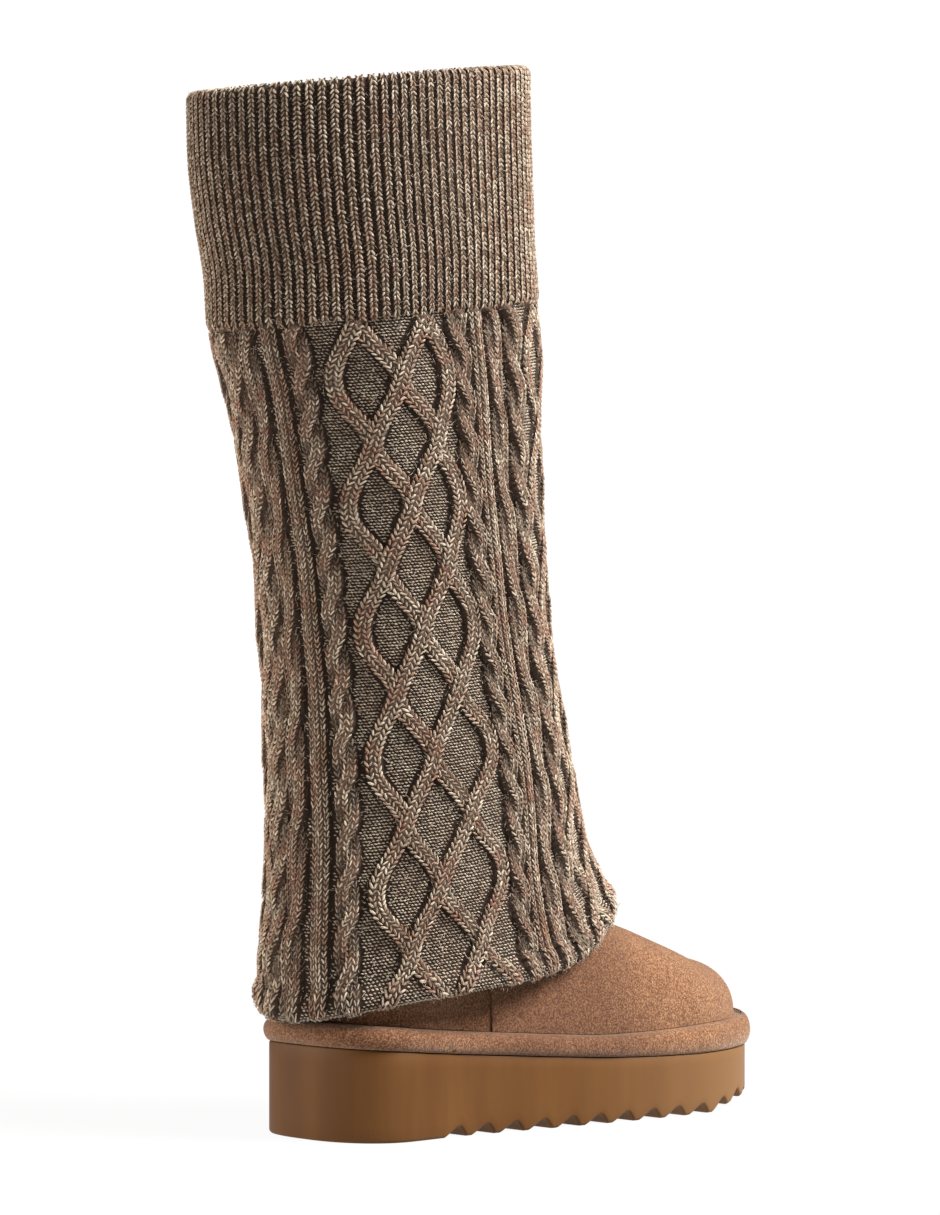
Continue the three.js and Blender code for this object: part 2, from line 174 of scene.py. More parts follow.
toeRound = {"length": 0.262, "outer": 2, "inner": 2}
soleTopLine = {
    "along": (0.0, 0.08, 0.15, 0.23, 0.32, 0.44, 0.55, 0.66, 0.75, 0.9, 1.0),
    "height": (1.0, 0.963, 0.918, 0.87, 0.823, 0.761, 0.713, 0.685, 0.674, 0.678, 0.69),
}
springLine = {"along": (0.0, 0.78, 0.82, 0.87, 0.93, 1.0), "rise": (0.0, 0.0, 0.45, 0.82, 1.0, 1.05)}
midsoleLine = {
    "along": (0.0, 0.3, 0.5, 0.65, 0.8, 1.0),
    "thickness": (0.95, 0.87, 0.86, 0.98, 1.13, 1.1),
}
footCrest = {
    "along": (0.16, 0.4, 0.5, 0.56, 0.61, 0.69, 0.76, 0.83, 0.87),
    "height": (0.8, 0.88, 0.89, 0.86, 0.79, 0.69, 0.575, 0.463, 0.395),
}
legBlend = {"rise": (0.0, 0.2, 0.4, 0.6, 0.8, 1.0), "blend": (0.0, 0.03, 0.18, 0.45, 0.77, 1.0)}
heelSeat = {"centre": 0.12, "back": 0.0195, "front": 0.555, "half": 0.33}
shaftSections = {
    "height": (0.1555, 0.2096, 0.2516, 0.3145, 0.3774, 0.4612, 0.5451, 0.6289, 0.7128, 0.7757,
               0.8281, 0.8805, 0.9434, 1.0),
    "centre": (0.324, 0.294, 0.2785, 0.2656, 0.2478, 0.226, 0.21, 0.1926, 0.1748, 0.1537,
               0.1448, 0.133, 0.1226, 0.1204),
    "width": (0.905, 0.875, 0.864, 0.871, 0.879, 0.886, 0.894, 0.909, 0.939, 0.955,
              0.97, 0.985, 1.0, 1.0),
    "depth": (1.16, 1.087, 1.023, 0.958, 0.905, 0.855, 0.86, 0.895, 0.938, 0.977,
              0.963, 0.985, 0.998, 1.0),
    "lean": (0.221, 0.18, 0.17, 0.15, 0.13, 0.11, 0.1, 0.1, 0.11, 0.115, 0.12, 0.12, 0.12, 0.119),
}
hemBends = {
    "height": (0.1555, 0.2096, 0.2516, 0.3145, 0.3774),
    "side": (-0.024, -0.01, -0.002, 0, 0),
    "egg": (0.125, 0.085, 0.06, 0.02, 0),
    "dip": (0.034, 0.015, 0.008, 0, 0),
    "wave": (0.028, 0.011, 0.004, 0, 0),
}


def readTable(table, column, at):
    # the part's own smooth curve through a table, whose first column is the place
    x = np.array(next(iter(table.values())), float)
    y = np.array(table[column], float)
    at = np.clip(np.asarray(at, float), x[0], x[-1])
    slope = np.diff(y) / np.diff(x)
    tangent = np.zeros(len(x))
    tangent[0], tangent[-1] = slope[0], slope[-1]
    before, after = slope[:-1], slope[1:]
    same = before * after > 0
    tangent[1:-1][same] = 2 * before[same] * after[same] / (before[same] + after[same])
    row = np.clip(np.searchsorted(x, at, side="left") - 1, 0, len(x) - 2)
    span = x[row + 1] - x[row]
    t = (at - x[row]) / span
    u = 1 - t
    return (y[row] * u * u * (1 + 2 * t) + y[row + 1] * t * t * (1 + 2 * u)
            + tangent[row] * span * t * u * u - tangent[row + 1] * span * t * t * u)


def smoothstep(x, low, high):
    t = np.clip((x - low) / (high - low), 0, 1)
    return t * t * (3 - 2 * t)


def toY(along):
    return along * part["soleLength"] - part["heelToOrigin"]


def toAlong(y):
    return (y + part["heelToOrigin"]) / part["soleLength"]


def soleTop(y):
    return part["heelStack"] * readTable(soleTopLine, "height", toAlong(y))


def treadHeight(y):
    return part["toeSpring"] * readTable(springLine, "rise", toAlong(y))


def midsoleAt(y):
    return part["midsoleThickness"] * readTable(midsoleLine, "thickness", toAlong(y))


def featherTop(y):
    return soleTop(y) + part["clearance"] + midsoleAt(y)


def endRound(reach, rounding, column):
    left = 1 - np.clip(reach / rounding["length"], 0, 1)
    return (1 - left ** rounding[column]) ** (1 / rounding[column])


def outlineSide(along, side):
    column = "outer" if side > 0 else "inner"
    reach = part["ballWidth"] * readTable(soleSides, column, along)
    toeEnd = endRound(1 - along, toeRound, column)
    middle = part["toeTipShift"] * (1 - toeEnd)
    x = (middle + side * reach * toeEnd) * endRound(along, heelRound, column)
    return np.column_stack([x, toY(along)])


def soleOutline(inset, stations):
    # outer side from heel to toe, then the inner side back
    ring = np.vstack([outlineSide(stations, 1), outlineSide(stations, -1)[-2:0:-1]])
    along = np.roll(ring, -1, 0) - np.roll(ring, 1, 0)
    along /= np.linalg.norm(along, axis=1)[:, None]
    return ring + inset * np.column_stack([-along[:, 1], along[:, 0]])


def cosineStations(count):
    return (1 - np.cos(np.pi * np.arange(count + 1) / count)) / 2


def finerStations(cosines, evens):
    stations = np.concatenate([cosineStations(cosines), np.linspace(0, 1, evens)])
    return np.unique(np.round(stations, 5))


def lift(outline, height):
    return np.column_stack([outline, height])


def newMesh(name, points, faceSets, scale=mm):
    mesh = bpy.data.meshes.new(name)
    points = np.asarray(points, np.float32) * scale
    loops = np.concatenate([np.asarray(f).ravel() for f in faceSets]).astype(np.int32)
    sizes = np.concatenate([np.full(len(f), np.asarray(f).shape[1]) for f in faceSets])
    starts = np.concatenate([[0], np.cumsum(sizes)[:-1]]).astype(np.int32)
    mesh.vertices.add(len(points))
    mesh.vertices.foreach_set("co", points.ravel())
    mesh.loops.add(len(loops))
    mesh.loops.foreach_set("vertex_index", loops)
    mesh.polygons.add(len(sizes))
    mesh.polygons.foreach_set("loop_start", starts)
    mesh.polygons.foreach_set("use_smooth", np.ones(len(sizes), bool))
    mesh.update(calc_edges=True)
    mesh.validate()
    return mesh


def stackMesh(name, rings):
    # quads between rings, and strips from side to side over both ends
    count = len(rings[0])
    j = np.arange(len(rings) - 1)[:, None] * count
    i = np.arange(count)[None, :]
    near = (i + 1) % count
    walls = np.stack([j + i, j + near, j + count + near, j + count + i], -1).reshape(-1, 4)
    k = np.arange(count // 2)
    caps = np.column_stack([k, (count - k) % count, count - k - 1, k + 1])[1:-1]
    tips = np.array([[0, count - 1, 1], [count // 2 - 1, count // 2 + 1, count // 2]])
    top = (len(rings) - 1) * count
    return newMesh(name, np.vstack(rings), [walls, caps, caps[:, ::-1] + top, tips, tips[:, ::-1] + top])


def addObject(mesh, material):
    piece = bpy.data.objects.new(mesh.name, mesh)
    mesh.materials.append(material)
    bpy.context.collection.objects.link(piece)
    return piece


def settle(piece, node):
    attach(piece, "root")
    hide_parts(node)


def blotch(x, y, size, seed):
    # smooth random field from 0 to 1 with patches of about that size
    table = np.random.RandomState(seed).rand(64, 64)
    gx, gy = np.asarray(x) / size, np.asarray(y) / size
    ix, iy = np.floor(gx).astype(int), np.floor(gy).astype(int)
    fx, fy = gx - ix, gy - iy
    fx, fy = fx * fx * (3 - 2 * fx), fy * fy * (3 - 2 * fy)
    a, b = table[ix % 64, iy % 64], table[(ix + 1) % 64, iy % 64]
    c, d = table[ix % 64, (iy + 1) % 64], table[(ix + 1) % 64, (iy + 1) % 64]
    return (a * (1 - fx) + b * fx) * (1 - fy) + (c * (1 - fx) + d * fx) * fy


# Sole: smooth foam sides with faint streaks of the mould
soleLook = {
    "dark": (66, 39, 14), "mid": (84, 52, 21), "light": (104, 70, 34), "toe": (122, 90, 59),
    "streaks": (60.0, 60.0, 7.0), "cloud": 14.0, "grain": 1900.0, "even": 0.55,
    "toeFrom": 0.08, "toeTo": 0.23, "toeLight": 0.8, "rough": 0.44,
    "rows": (0.15, 0.5, 0.85),
    # one lug: where its crest stands between two roots, and how its two flanks bend
    "crest": 0.62, "climbBend": 1.15, "dropBend": 0.85, "dropLip": 0.1, "crown": 0.12,
}


def soleFoam(w):
    place = objectPlace(w)
    along = w.make("ShaderNodeMapping", None, {0: place, 3: soleLook["streaks"]})
    streak = noise(w, along, 1.0, 3.0)
    cloud = noise(w, place, soleLook["cloud"])
    grain = noise(w, place, soleLook["grain"])
    tone = streak.ramp(0.3, 0.72) * 0.5 + cloud.ramp(0.3, 0.7) * 0.35 + grain * 0.15
    colour = tone.blend(linear(*soleLook["dark"]), linear(*soleLook["light"]))
    colour = w.make("ShaderNodeMix", {"data_type": "RGBA"},
                    {0: soleLook["even"], 6: colour, 7: linear(*soleLook["mid"])}, out=2)
    # painted light: the toe end is painted a little paler, where the light falls strongest
    toe = w.make("ShaderNodeSeparateXYZ", None, {0: place}, out=1)
    pale = toe.ramp(soleLook["toeFrom"], soleLook["toeTo"]) * soleLook["toeLight"]
    colour = pale.blend(colour, linear(*soleLook["toe"]))
    return {"Base Color": colour, "Roughness": streak * 0.14 + soleLook["rough"],
            "Normal": bump(w, 0.12, 0.0002, grain)}


solePaint = newMaterial("sole foam satin", {"Specular IOR Level": 0.14}, soleFoam)


def addOutsole():
    stations = finerStations(150, 460)
    outline = soleOutline(0, stations)
    tucked = soleOutline(part["edgeRound"], stations)
    y = np.clip(outline[:, 1], toY(0), toY(1))
    # the tread: a smooth heel pad, then lugs that climb slowly and drop steeply
    start = part["heelPadLength"] - part["lugFlat"] - part["heelToOrigin"]
    lug = (y - start) / part["lugPitch"]
    share = lug - np.floor(lug)
    inLugs = (lug > 0) & (lug < part["lugCount"])
    flat = part["lugFlat"] / part["lugPitch"]
    crest = flat + (1 - flat) * soleLook["crest"]
    climb = np.clip((share - flat) / (crest - flat), 0, 1) ** soleLook["climbBend"]
    drop = np.clip((1 - share) / (1 - crest - soleLook["dropLip"]), 0, 1) ** soleLook["dropBend"]
    notch = np.minimum(climb, drop)
    notch = np.where(inLugs, part["lugDepth"] * (notch - soleLook["crown"] * notch ** 4), 0)
    low = treadHeight(y) + notch
    top = soleTop(y)
    rounding = part["edgeRound"]
    rings = []
    for turn in np.linspace(0, np.pi / 2, 4):
        inset = 1 - np.sin(turn)
        rings.append(lift(outline + (tucked - outline) * inset, low + rounding * (1 - np.cos(turn))))
    for rise in soleLook["rows"]:
        rings.append(lift(outline, low + rounding + (top - 2 * rounding - low) * rise))
    half = rounding / 2
    for turn in np.linspace(0, np.pi / 2, 3):
        rings.append(lift(outline + (tucked - outline) * (1 - np.cos(turn)) / 2,
                          top - half + half * np.sin(turn)))
    mesh = stackMesh("outsole_foam", rings)
    mesh.set_sharp_from_angle(angle=math.radians(50))
    settle(addObject(mesh, solePaint), "outsole")


addOutsole()
print("outsole made")


# Suede: short brushed nap, mottled where it has been stroked
suedeLook = {
    "deep": (68, 36, 18), "mid": (112, 73, 45), "light": (160, 121, 89), "shade": (172, 152, 138),
    "strokes": 26.0, "mottle": 240.0, "grain": 1150.0, "rough": 0.82,
    # painted shadow: the nap is painted darker under the knitting than over the toe, most of all past the heel,
    # for the shaft's shadow on the foot
    "shadeEnds": 0.158, "shadeFull": 0.112, "shadeHeel": 0.48,
    "heelEnds": 0.02, "heelFull": 0.07, "shadeMore": 0.27,
}


def suede(w):
    place = objectPlace(w)
    along = w.make("ShaderNodeMapping", None, {0: place, 3: (0.7, 1.3, 1.0), 2: (0.3, 0.2, 0.5)})
    strokes = noise(w, along, suedeLook["strokes"], 3.0, twist=0.6)
    mottle = noise(w, along, suedeLook["mottle"], 4.0, 0.6)
    grain = noise(w, place, suedeLook["grain"], 4.0, 0.7)
    tone = strokes.ramp(0.3, 0.72) * 0.1 + mottle.ramp(0.3, 0.72) * 0.06 + grain.ramp(0.35, 0.65) * 0.84
    colour = w.make("ShaderNodeValToRGB", {"stops": [
        (0.0, linear(*suedeLook["deep"])), (0.5, linear(*suedeLook["mid"])),
        (1.0, linear(*suedeLook["light"]))]}, {0: tone})
    foot = w.make("ShaderNodeSeparateXYZ", None, {0: place}, out=1)
    # painted shadow of the shaft: the colour is multiplied toward the shade colour under the knitting
    deeperShadow = foot.ramp(suedeLook["heelEnds"], suedeLook["heelFull"]) * suedeLook["shadeMore"]
    under = foot.ramp(suedeLook["shadeEnds"], suedeLook["shadeFull"]) * (deeperShadow + suedeLook["shadeHeel"])
    colour = w.make("ShaderNodeMix", {"data_type": "RGBA", "blend_type": "MULTIPLY"},
                    {0: under, 6: colour, 7: linear(*suedeLook["shade"])}, out=2)
    return {"Base Color": colour, "Roughness": grain * 0.1 + suedeLook["rough"],
            "Normal": bump(w, 0.8, 0.0005, grain + mottle * 1.2)}


suedePaint = newMaterial("suede nap", {
    "Sheen Weight": 0.3, "Sheen Roughness": 0.5, "Sheen Tint": linear(255, 236, 216),
    "Specular IOR Level": 0.2}, suede)

liningLook = {"deep": (150, 128, 98), "light": (216, 198, 168), "curls": 420.0, "rough": 0.85}


def fleece(w):
    curl = noise(w, objectPlace(w), liningLook["curls"], 4.0, twist=1.4)
    colour = curl.ramp(0.3, 0.7).blend(linear(*liningLook["deep"]), linear(*liningLook["light"]))
    return {"Base Color": colour, "Roughness": curl * 0.1 + liningLook["rough"],
            "Normal": bump(w, 0.9, 0.0014, curl)}


liningPaint = newMaterial("fleece lining", {"Sheen Weight": 0.3, "Specular IOR Level": 0.15}, fleece)


# Band: suede wrapped round the slab, a soft round that ends in a stitched-down ledge
bandLook = {
    # rows of its height and bulge, as shares of the slab's thickness and bulge
    "rows": ((0.0, -0.35), (0.0, 0.1), (0.05, 0.4), (0.14, 0.66), (0.26, 0.88), (0.4, 1.0), (0.54, 0.98),
             (0.67, 0.86), (0.79, 0.6), (0.88, 0.24), (0.95, -0.25), (0.985, -0.75), (0.97, -1.15),
             (1.0, -1.5), (1.0, -2.2), (1.0, -6.0)),
    "lumps": 26, "lumpHeight": 0.35, "girth": 800,
    "toeFrom": 196, "toeTo": 236, "toeLift": 1.9, "liftAt": 0.93, "liftSpread": 0.28,
}


def addMidsole():
    stations = finerStations(110, 150)
    count = 2 * len(stations) - 2
    around = np.arange(count) / count * bandLook["girth"]
    rings = []
    for rise, out in bandLook["rows"]:
        bulge = part["midsoleBulge"] * out
        y = np.clip(soleOutline(-bulge, stations)[:, 1], toY(0), toY(1))
        lumps = blotch(around, np.full(count, rise * 12), bandLook["lumps"], 5) - 0.5
        if not 0 < rise < 0.97:  # flat above and below
            lumps = lumps * 0
        ring = soleOutline(-bulge - lumps[:, None] * bandLook["lumpHeight"], stations)
        # round the toe the band stands up in front of its groove
        near = math.exp(-((rise - bandLook["liftAt"]) / bandLook["liftSpread"]) ** 2) * (out > -0.7)
        proud = smoothstep(y, bandLook["toeFrom"], bandLook["toeTo"]) * bandLook["toeLift"] * near
        rings.append(lift(ring, soleTop(y) + part["clearance"] + midsoleAt(y) * rise + proud))
    mesh = stackMesh("midsole_band", rings)
    mesh.set_sharp_from_angle(angle=math.radians(60))
    settle(addObject(mesh, suedePaint), "midsole")


addMidsole()


def addInsole():
    stations = cosineStations(60)
    inset = part["featherInset"] + part["sideSeamStep"] + part["suedeWall"] + part["clearance"]
    rings = []
    # its rounded edge: share of the thickness, and how far in from the wall
    for rise, extra in ((0, 0.6), (0.3, 0.7), (0.6, 1.2), (0.85, 2.2), (1.0, 4.0), (1.0, 9.0)):
        ring = soleOutline(inset + extra, stations)
        y = np.clip(ring[:, 1], toY(0), toY(1))
        rings.append(lift(ring, featherTop(y) + part["clearance"] + part["footbedThickness"] * rise))
    settle(addObject(stackMesh("insole_fleece", rings), liningPaint), "insole")


addInsole()
print("midsole and insole made")


# Upper: the foot part and the leg part as one skin
def shaftPoint(height, offset, angle):
    share = np.asarray(height, float) / part["shaftHeight"]
    half = part["collarWidth"] / 2 * readTable(shaftSections, "width", share) + offset
    deep = part["collarDepth"] / 2 * readTable(shaftSections, "depth", share) + offset
    middle = toY(readTable(shaftSections, "centre", share))
    lean = readTable(shaftSections, "lean", share)
    egg = readTable(hemBends, "egg", share)
    side, dip, wave = (part["collarWidth"] * readTable(hemBends, c, share)
                       for c in ("side", "dip", "wave"))
    across, front = np.cos(angle), np.sin(angle)
    return np.stack([side + half * across * (1 - egg * front), middle + deep * front,
                     height + lean * deep * front - dip * np.cos(2 * angle) - wave * np.sin(3 * angle)], -1)


footRound = 2.32  # the foot's section: 2 would be an ellipse, more is squarer


def footShell(inset, drop, below, stations, rounds):
    base = soleOutline(inset, stations)
    crest = np.clip(base[:, 1], toY(0.16), toY(0.87))
    side = part["toeTipShift"] * 0.6 * smoothstep(crest, toY(0.5), toY(0.87))
    rise = part["instepHeight"] * readTable(footCrest, "height", toAlong(crest)) - drop
    edge = featherTop(base[:, 1])
    rings = [lift(base, edge - below)]
    for angle in np.pi / 2 * (np.arange(rounds + 1) + 0.05) / (rounds + 0.3):
        reach, up = np.cos(angle) ** (2 / footRound), np.sin(angle) ** (2 / footRound)
        x = side + (base[:, 0] - side) * reach
        y = crest + (base[:, 1] - crest) * reach
        rings.append(np.column_stack([x, y, featherTop(y) + part["clearance"] + rise * up]))
    return rings


def legShell(inset, below, above, steps, levels):
    angle = -np.pi / 2 + 2 * np.pi * np.arange(steps) / steps
    offset = -(part["knitWall"] + part["cableRise"]) - part["clearance"] - inset
    high = shaftPoint(part["ankleHeight"], offset, angle)
    front = np.sin(angle)
    centre = toY(heelSeat["centre"])
    ahead, behind = toY(heelSeat["front"]) - centre, centre - toY(heelSeat["back"])
    y = centre + (np.where(front > 0, ahead, behind) - inset) * front
    half = part["ballWidth"] * heelSeat["half"] - inset
    low = np.column_stack([half * np.cos(angle), y, featherTop(y) + part["clearance"]])
    rings = []
    for j in range(levels + 1):
        rise = j / levels
        bend = float(readTable(legBlend, "blend", rise))
        ring = low + (high - low) * bend
        ring[:, 2] = low[:, 2] + (high[:, 2] - low[:, 2]) * rise
        ring[:, 2] += -below if j == 0 else above if j == levels else 0
        rings.append(ring)
    return rings


def cutOrJoin(target, tool, operation):
    step = target.modifiers.new(tool.name, "BOOLEAN")
    step.operation = operation
    step.solver = "EXACT"
    step.object = tool
    step.material_mode = "TRANSFER"
    graph = bpy.context.evaluated_depsgraph_get()
    mesh = bpy.data.meshes.new_from_object(target.evaluated_get(graph))
    target.modifiers.clear()
    target.data = mesh
    bpy.data.objects.remove(tool)


def addUpper():
    stations = cosineStations(84)
    wall, step, inset = part["suedeWall"], part["sideSeamStep"], part["featherInset"]
    quarter = addObject(stackMesh("upper_suede", footShell(inset + step, step, 3.9, stations, 22)), suedePaint)
    vamp = addObject(stackMesh("vamp", footShell(inset, 0, 4.9, stations, 22)), suedePaint)
    # the vamp lies over the quarter, and ends at the side seam
    seam = toY(part["sideSeamAlong"])
    base = ((-110, seam), (110, seam), (110, 300), (-110, 300))
    box = np.array([[x, y, z] for z in (-95, 180) for x, y in base])
    sides = np.array([[3, 2, 1, 0], [4, 5, 6, 7], [0, 1, 5, 4], [1, 2, 6, 5], [2, 3, 7, 6], [3, 0, 4, 7]])
    ahead = addObject(newMesh("ahead", box, [sides]), suedePaint)
    cutOrJoin(vamp, ahead, "INTERSECT")
    cutOrJoin(quarter, vamp, "UNION")
    cutOrJoin(quarter, addObject(stackMesh("leg", legShell(0, 6, 0, 96, 16)), suedePaint), "UNION")
    thick = wall + step
    around = soleOutline(-wall * 6, stations)
    feather = featherTop(around[:, 1]) + part["clearance"]
    rooms = {
        "footRoom": footShell(inset + thick, thick, 7, stations, 16),
        "legRoom": legShell(wall, 8, wall, 96, 16),
        "below": [lift(around, feather * 0), lift(around, feather)],
    }
    for name, rings in rooms.items():
        cutOrJoin(quarter, addObject(stackMesh(name, rings), liningPaint), "DIFFERENCE")
    mesh = quarter.data
    mesh.polygons.foreach_set("use_smooth", np.ones(len(mesh.polygons), bool))
    mesh.set_sharp_from_angle(angle=math.radians(38))
    settle(quarter, "upper")


addUpper()
print("upper made")


# Knitted shaft: a look-up surface, walked by turn round it and by length up the outside,
# over the collar and down the inside
knit = {
    "girth": 440.0, "cuffGirth": 477, "mapLength": 900,
    "ground": -3.5, "cuffGround": -2.2, "inner": -7.0,
    "hemRoll": 3.4, "hemMiddle": -3.7, "collarRoll": 1.8, "collarMiddle": -3.5, "turnedIn": 85.0,
    "slouch": 0.9, "fold": 8.0, "foldWidth": 0.135,
    "foldHeights": (190, 260, 330, 400, 477), "foldTurns": (0.366, 0.359, 0.35, 0.338, 0.339),
    "seed": 11,
}
hemTop = part["hemHeight"] + 3.6
cuffLow = part["shaftHeight"] - part["cuffHeight"]
collarAt = part["shaftHeight"] - 3.5
legTop = part["ankleHeight"] - 4  # the inner wall ends in a lip that meets the upper's leg here


def shaftProfile():
    # rows of place along the knitting, height of the section and offset from its surface
    rows = [(40.0, 108.0, knit["inner"]), (64.0, 84.0, knit["inner"])]
    roll = knit["hemRoll"]
    for angle in np.linspace(np.pi, 0, 9):
        rows.append((hemTop - roll * angle, hemTop - roll * np.sin(angle),
                     knit["hemMiddle"] + roll * np.cos(angle)))
    for height, offset in ((hemTop + 3.5, -1.0), (hemTop + 7.5, knit["ground"]),
                           (cuffLow - 1.5, knit["ground"]), (cuffLow + 1.5, knit["cuffGround"])):
        rows.append((height, height, offset))
    roll = knit["collarRoll"]
    for angle in np.linspace(0, np.pi, 9):
        rows.append((collarAt + roll * angle, collarAt + roll * np.sin(angle),
                     knit["collarMiddle"] + roll * np.cos(angle)))
    inside = collarAt + roll * np.pi
    cuffEnd = collarAt - knit["turnedIn"]
    for height, offset in ((cuffEnd, -5.1), (cuffEnd - 15, -6.4), (legTop, -6.9)):
        rows.append((inside + collarAt - height, height, offset))
    rows.append((inside + collarAt - legTop + 3.0, legTop - 1.5, -9.4))
    return np.array(rows), inside


profile, insideFrom = shaftProfile()
turnSteps = 720


def buildSurface():
    v = np.unique(np.round(np.concatenate([
        np.arange(profile[0, 0], profile[-1, 0], 2.0), np.arange(62, 92, 0.5),
        np.arange(cuffLow - 4, cuffLow + 5, 0.5), np.arange(collarAt - 4, insideFrom + 4, 0.4)]), 3))
    height = np.interp(v, profile[:, 0], profile[:, 1])
    offset = np.interp(v, profile[:, 0], profile[:, 2])
    angle = np.pi / 2 - np.linspace(0, 2 * np.pi, turnSteps * 2 + 1)
    fine = shaftPoint(height[:, None], offset[:, None], angle[None, :])
    step = np.linalg.norm(np.diff(fine[..., :2], axis=1), axis=-1)
    length = np.concatenate([np.zeros((len(v), 1)), np.cumsum(step, 1)], 1)
    girth = length[:, -1]
    want = np.arange(turnSteps + 1) / turnSteps
    angles = np.stack([np.interp(want * g, l, angle) for g, l in zip(girth, length)])
    # the slack of the knit: faint soft hollows and swells
    around = want[None, :] * 2 * np.pi
    sag = (np.sin(around * 3 + height[:, None] * 0.021) * 0.5
           + np.sin(around * 2 - height[:, None] * 0.034 + 1.2) * 0.5) * knit["slouch"]
    quiet = np.interp(height, (80, 120, 360, 420), (0.4, 1, 1, 0.5))[:, None]
    # and one long soft fold down the outer side, where two flatter faces meet
    fold = np.interp(height, knit["foldHeights"], knit["foldTurns"])[:, None]
    tall = np.interp(height, (110, 190, 300, 477), (0.0, 3.0, knit["fold"], knit["fold"]))[:, None]
    away = np.hypot((want[None, :] - fold) / knit["foldWidth"], 0.1)
    sag = sag * quiet + tall * np.clip(1 - away, 0, 1)
    # inside, low down, the wall lies close round the leg of the upper
    sag *= np.where(v > collarAt + 50, np.interp(height, (180, 260), (0.0, 1.0)), 1.0)[:, None]
    points = shaftPoint(height[:, None], offset[:, None] + sag, angles)
    dv = np.gradient(points, v, axis=0)
    wrapped = np.concatenate([points[:, -2:-1], points, points[:, 1:2]], 1)
    dt = wrapped[:, 2:] - wrapped[:, :-2]
    normal = np.cross(dv, dt)
    normal /= np.linalg.norm(normal, axis=-1)[..., None]
    return v, girth, points, normal


surfaceV, surfaceGirth, surfacePoints, surfaceNormals = buildSurface()


def onKnit(turn, v, out):
    # a point at a turn, a length along the knitting and a rise over its ground
    t = np.mod(turn, 1.0) * turnSteps
    i = np.minimum(t.astype(int), turnSteps - 1)
    f = (t - i)[:, None]
    r = np.clip(np.interp(v, surfaceV, np.arange(len(surfaceV))), 0, len(surfaceV) - 1.001)
    j = r.astype(int)
    g = (r - j)[:, None]

    def read(grid):
        return ((grid[j, i] * (1 - f) + grid[j, i + 1] * f) * (1 - g)
                + (grid[j + 1, i] * (1 - f) + grid[j + 1, i + 1] * f) * g)

    return read(surfacePoints) + read(surfaceNormals) * np.asarray(out)[:, None]


# Strands of the pattern: each is read at any length v for its turn and its rise
latticeTurns = (0.0, 0.02, 0.055, 0.089, 0.125)
firstPanel = 0.283
panelShare = 0.136
stripsUp = (("rope", 0.0145), ("rib", 0.0425), ("twist", 0.0725), ("wide", 0.1))
stripsDown = (("wide", 0.0125), ("twist", 0.0475), ("rib", 0.073), ("rope", 0.0985))
stripLook = {
    # a larger firm keeps the two halves of a cable straight for longer between crossings
    "rope": {"half": 5.3, "cross": 20.0, "rise": 3.7, "swing": 0.46, "deep": 1.9, "firm": 1.7},
    "wide": {"half": 7.0, "cross": 27.0, "rise": 3.7, "swing": 0.48, "deep": 2.0, "firm": 1.7},
    "twist": {"half": 5.2, "cross": 42.0, "rise": 3.6, "swing": 0.45, "deep": 1.3, "firm": 2.6},
    "rib": {"half": 4.1, "rise": 3.4},
}
latticeLook = {"half": 3.7, "rise": 3.5, "over": 0.6, "under": 2.1, "spread": 0.2, "turnBack": 0.3}


def drift(turn, v):
    # low on the leg the strips beside the first panel run a little further to the front
    low = np.interp(v, (100, 172, 236, 290, 344), (1.0, 0.96, 0.38, 0.1, 0.0))
    here = np.interp(np.mod(turn, 1.0), (0.0, 0.1, 0.158, 0.2, 0.283, 0.306), (0.0, 0.3, 0.75, 0.95, 1.0, 0.0))
    # and beside the fold of the leg the pattern keeps its place as seen from outside
    fold = np.interp(v, (110, 190, 300, 477), (0.0, 0.3, 1.0, 1.0))
    beside = np.interp(np.mod(turn, 1.0), (0.2, 0.25, 0.3, 0.34, 0.4), (0.0, 0.6, 1.0, 0.6, 0.0))
    return turn - 0.0265 * low * here + 0.0072 * fold * beside


def sway(v, row, size, seed, reach):
    # how far a strand strays along its way, as a turn
    return (blotch(v, np.full_like(v, row), size, seed) - 0.5) * reach


def latticeStrand(start, phase, number):
    def path(v):
        k = (cuffLow - v) / part["latticeUnit"] + phase + 1
        step = np.floor(k)
        f = k - step
        straight = np.mod(step, 8) < 4  # the strands that lie over run on more evenly
        f = f - np.sin(2 * np.pi * f) / (2 * np.pi) * np.where(straight, 0.25, 0.55)
        k = np.mod(step + f, 8)
        across = np.where(k > 4, 8 - k, k)
        # soft bends where it turns back at the panel's two edges
        across = np.hypot(across, latticeLook["turnBack"]) - 0.2 * np.exp(-across * 1.2)
        across = 4 - (np.hypot(4 - across, latticeLook["turnBack"]) - 0.2 * np.exp((across - 4) * 1.2))
        turn = start + np.interp(across, range(5), latticeTurns)
        falling = k < 4  # this way the strand runs over the one that it meets
        raw = (cuffLow - v) / part["latticeUnit"]
        near = np.abs(raw - np.round(raw))
        inner = (across > 0.6) & (across < 3.4)
        meets = np.exp(-(near / latticeLook["spread"]) ** 2) * inner
        rise = latticeLook["rise"] + np.where(falling, latticeLook["over"], -latticeLook["under"]) * meets
        return drift(turn + sway(v, number * 7.3, 22, 3, 0.0022), v), rise
    return {"path": path, "half": latticeLook["half"], "wales": 2, "kind": "lattice",
            "top": latticeLook["rise"] + latticeLook["over"]}


def ropeStrand(centre, look, side, hand, number):
    swing = look["half"] * look["swing"] / knit["girth"]

    def path(v):
        phase = np.pi * (v + number * 5.1) / look["cross"] + side * np.pi
        # the two halves run straight for a while and then change sides
        wave = np.tanh(np.cos(phase) * look["firm"]) / np.tanh(look["firm"])
        rise = look["rise"] + np.sin(phase) * look["deep"] * hand - 0.2
        return drift(centre + wave * swing + sway(v, number * 3.1, 30, 4, 0.002), v), rise
    half = look["half"] * (1.02 - look["swing"])
    return {"path": path, "half": half, "wales": 2, "kind": "cable", "top": look["rise"] + look["deep"] - 0.2}


